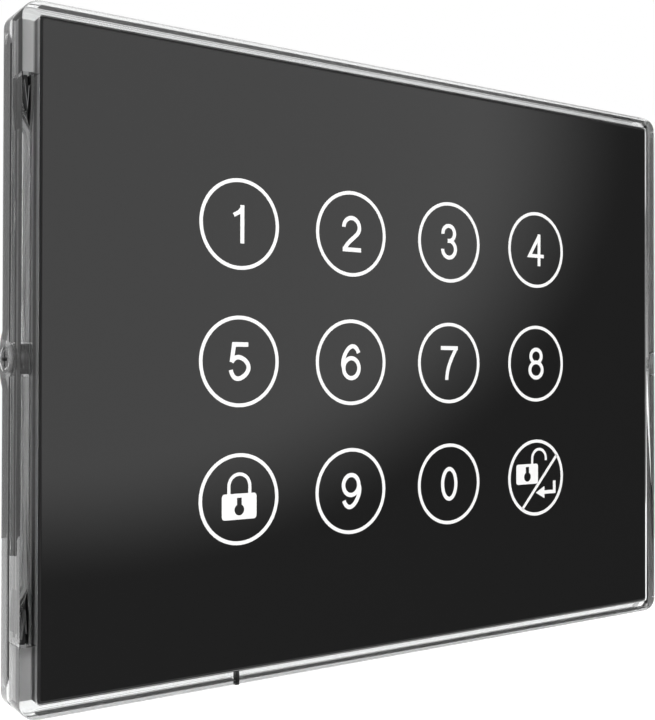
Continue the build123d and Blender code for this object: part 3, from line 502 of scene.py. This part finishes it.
def make_bush(name, screw):
    """A dark bush in the boss round a lock screw, that hides what lies inside the boss."""
    lo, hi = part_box(screw)
    side = math.copysign(1, lo.x)
    near, far = sorted((lo.x, hi.x), key=abs)
    ends = (near + side * 0.1 * MM, far - side * 0.05 * MM)
    builder = bmesh.new()
    rings = []
    for x, radius in ((ends[0], BUSH_R), (ends[1], BUSH_R), (ends[1], BUSH_R - BUSH_WALL),
                      (ends[0], BUSH_R - BUSH_WALL)):
        rings.append([
            builder.verts.new((x, BOSS_Y + radius * math.cos(angle), radius * math.sin(angle)))
            for angle in (math.tau * k / BUSH_SIDES for k in range(BUSH_SIDES))
        ])
    for ring, following in zip(rings, rings[1:] + rings[:1]):
        for k in range(BUSH_SIDES):
            j = (k + 1) % BUSH_SIDES
            builder.faces.new((ring[k], ring[j], following[j], following[k]))
    return finish_mesh(name, builder)


for screw in ("lock_screw_left", "lock_screw_right"):
    bush = screw.replace("screw", "bush")
    new_piece(bush, make_bush(bush, screw), finishes["grey_plastic"], "grey_plastic", "wall_base")


def make_dark_boxes(name, box_rows):
    """Thin straight dark boxes along the sides, that carry painted shade and painted reflections, as
    (inner, outer, low, high, front, back).
    """
    builder = bmesh.new()
    for inner, outer, low, high, front, back in box_rows:
        prism(builder, [(inner, low), (outer, low), (outer, high), (inner, high)], front, back)
    return finish_mesh(name, builder)


# two dark hairlines under the left side's clear surface: painted dark reflections that stand for the
# dark bands the clear side shows
LINE_Z = RECESS_Z - 1.0 * MM
LINE_X = -GLASS_X - FRAME_SIDE
painted_side_bands = make_dark_boxes("painted_side_bands", [
    (LINE_X + 0.04 * MM, LINE_X + 0.16 * MM, -LINE_Z, LINE_Z, front, back)
    for front, back in ((0.55 * MM, 0.95 * MM), (2.05 * MM, 2.55 * MM))
])
painted_band_grey = surface("painted_band_grey", grey(0.05), 0.5, 0.004 * MM, 5000.0, 0.2)
new_piece("painted_side_bands", painted_side_bands, painted_band_grey, "black_plastic", "front_unit")

# a thin dark strip of painted shade, standing for the shadow in the gap between the frame and the
# wall plate's rim, on the left
SHADE_Z = 42.0 * MM
gap_shadow_strip = make_dark_boxes("gap_shadow_strip", [
    (LINE_X + 0.02 * MM, LINE_X + 0.14 * MM, low, high,
     FRAME_DEPTH + 0.02 * MM, FRAME_DEPTH + 0.53 * MM)
    for low, high in ((-SHADE_Z, -BOSS_GAP_R), (BOSS_GAP_R, SHADE_Z))
])
new_piece("gap_shadow_strip", gap_shadow_strip, finishes["seal_rubber"], "seal_rubber", "wall_base")

# a dark strip of painted shade in the groove of the right rail, standing for the groove's shadow
GROOVE_X = GLASS_X + 1.6 * MM
groove_shadow_strip = make_dark_boxes("groove_shadow_strip", [
    (GROOVE_X - 0.17 * MM, GROOVE_X + 0.17 * MM, low, high,
     FRAME_DEPTH - 0.02 * MM, FRAME_DEPTH + 0.09 * MM)
    for low, high in ((-SHADE_Z, -BOSS_GAP_R), (BOSS_GAP_R, SHADE_Z))
])
new_piece("groove_shadow_strip", groove_shadow_strip, finishes["seal_rubber"], "seal_rubber", "front_unit")


# ------------------------------------------------------------------------ the stage
def make_floor():
    """A plain pale floor under and behind the panel."""
    drop = 30 * MM
    builder = bmesh.new()
    left, right, near, far = -0.30, 0.30, -0.03, 0.35
    level = frame_lo.z - drop
    corners = [(left, near), (right, near), (right, far), (left, far)]
    builder.faces.new([builder.verts.new((x, y, level)) for x, y in corners])
    mesh = finish_mesh("floor", builder)
    floor = bpy.data.objects.new("floor", mesh)
    scene.collection.objects.link(floor)
    material, bsdf, make = shader("floor_paper")
    fibre = make.noise(800.0, 4.0)
    make.put(bsdf.inputs["Base Color"], make.mix(fibre, grey(0.86), grey(0.90)))
    bsdf.inputs["Roughness"].default_value = 0.8
    bsdf.inputs["Emission Color"].default_value = (1.0, 1.0, 1.0, 1.0)
    bsdf.inputs["Emission Strength"].default_value = 0.6
    mesh.materials.append(material)


def soft_light(name, place, target, size, power):
    """A square softbox that lights surfaces, and shows in no reflection and to no camera."""
    light = bpy.data.lights.new(name, "AREA")
    light.size = size
    light.energy = power
    lamp = bpy.data.objects.new(name, light)
    scene.collection.objects.link(lamp)
    lamp.location = place
    lamp.rotation_mode = "QUATERNION"
    lamp.rotation_quaternion = (Vector(target) - Vector(place)).to_track_quat("-Z", "Y")
    lamp.visible_glossy = False
    lamp.visible_camera = False


WHITE = 0.80                               # level of the room's white walls


def studio_world():
    """A white room with a grey wall at eye level, and one oval softbox in front."""
    world = bpy.data.worlds.new("studio")
    scene.world = world
    world.use_nodes = True
    world.node_tree.nodes.clear()
    make = Nodes(world.node_tree)
    where = make.add("ShaderNodeTexCoord")
    axes = make.add("ShaderNodeSeparateXYZ")
    make.links.new(where.outputs["Generated"], axes.inputs["Vector"])
    x, y, z = axes.outputs["X"], axes.outputs["Y"], axes.outputs["Z"]
    height = make.maths("MULTIPLY", make.maths("ARCSINE", z), 180 / math.pi)
    steep = make.maths("ABSOLUTE", height)
    front_turn = make.maths("ARCTAN2", x, make.maths("MULTIPLY", y, -1.0))
    front_turn = make.maths("MULTIPLY", front_turn, 180 / math.pi)
    back_turn = make.maths("MULTIPLY", make.maths("ARCTAN2", x, y), 180 / math.pi)
    # the oval softbox in front, up and to the right
    across = make.maths("DIVIDE", make.maths("SUBTRACT", front_turn, 20.0), 27.0)
    along = make.maths("DIVIDE", make.maths("SUBTRACT", height, 12.0), 20.6)
    squares = make.maths("ADD", make.maths("MULTIPLY", across, across),
                         make.maths("MULTIPLY", along, along))
    oval = make.ramp(make.maths("SQRT", squares), 0.80, 1.12, 1.15, 0.0)
    # in front, dark at eye level; behind, grey at eye level and white above and below
    behind = make.ramp(y, -0.15, 0.15)
    front_white = make.ramp(steep, 28.0, 45.0)
    back_white = make.maths("MULTIPLY", make.ramp(steep, 6.5, 8.5),
                            make.ramp(back_turn, -5.0, 5.0))
    high_white = make.ramp(steep, 24.0, 34.0)
    back_white = make.maths("MAXIMUM", back_white, high_white)
    wall = make.maths("ADD", make.maths("MULTIPLY", make.ramp(height, -20.0, 20.0), 0.10), 0.20)
    back = make.maths("MAXIMUM", wall, make.maths("MULTIPLY", back_white, WHITE))
    front_white = make.maths("MULTIPLY", front_white, WHITE)
    front = make.maths("MAXIMUM", make.maths("MAXIMUM", front_white, oval), 0.02)
    level = make.maths("ADD", make.maths("MULTIPLY", back, behind),
                       make.maths("MULTIPLY", front, make.maths("SUBTRACT", 1.0, behind)))
    room = make.add("ShaderNodeBackground")
    make.links.new(level, room.inputs["Color"])
    page = make.add("ShaderNodeBackground")
    page.inputs["Color"].default_value = (1.0, 1.0, 1.0, 1.0)
    ray = make.add("ShaderNodeLightPath")
    chosen = make.add("ShaderNodeMixShader")
    make.links.new(ray.outputs["Is Camera Ray"], chosen.inputs["Fac"])
    make.links.new(room.outputs["Background"], chosen.inputs[1])
    make.links.new(page.outputs["Background"], chosen.inputs[2])
    output = make.add("ShaderNodeOutputWorld")
    make.links.new(chosen.outputs["Shader"], output.inputs["Surface"])


def make_camera():
    """The viewpoint: close, left of the panel, level with its middle."""
    data = bpy.data.cameras.new("camera")
    data.lens = 55.84
    data.sensor_width = 36.0
    data.clip_start = 0.01
    camera = bpy.data.objects.new("camera", data)
    scene.collection.objects.link(camera)
    eye = Vector((-0.11107, FRONT_Y - 0.14114, -0.00153))
    turn = Matrix.Rotation(math.radians(-34.495), 4, "Z")
    tilt = Matrix.Rotation(math.radians(90.585), 4, "X")
    roll = Matrix.Rotation(math.radians(0.102), 4, "Z")
    camera.matrix_world = Matrix.Translation(eye) @ turn @ tilt @ roll
    scene.camera = camera


make_floor()
soft_light("key_fill", (-0.25, -0.55, 0.25), (0.0, 0.0, 0.0), 0.4, 4.6)
studio_world()
make_camera()
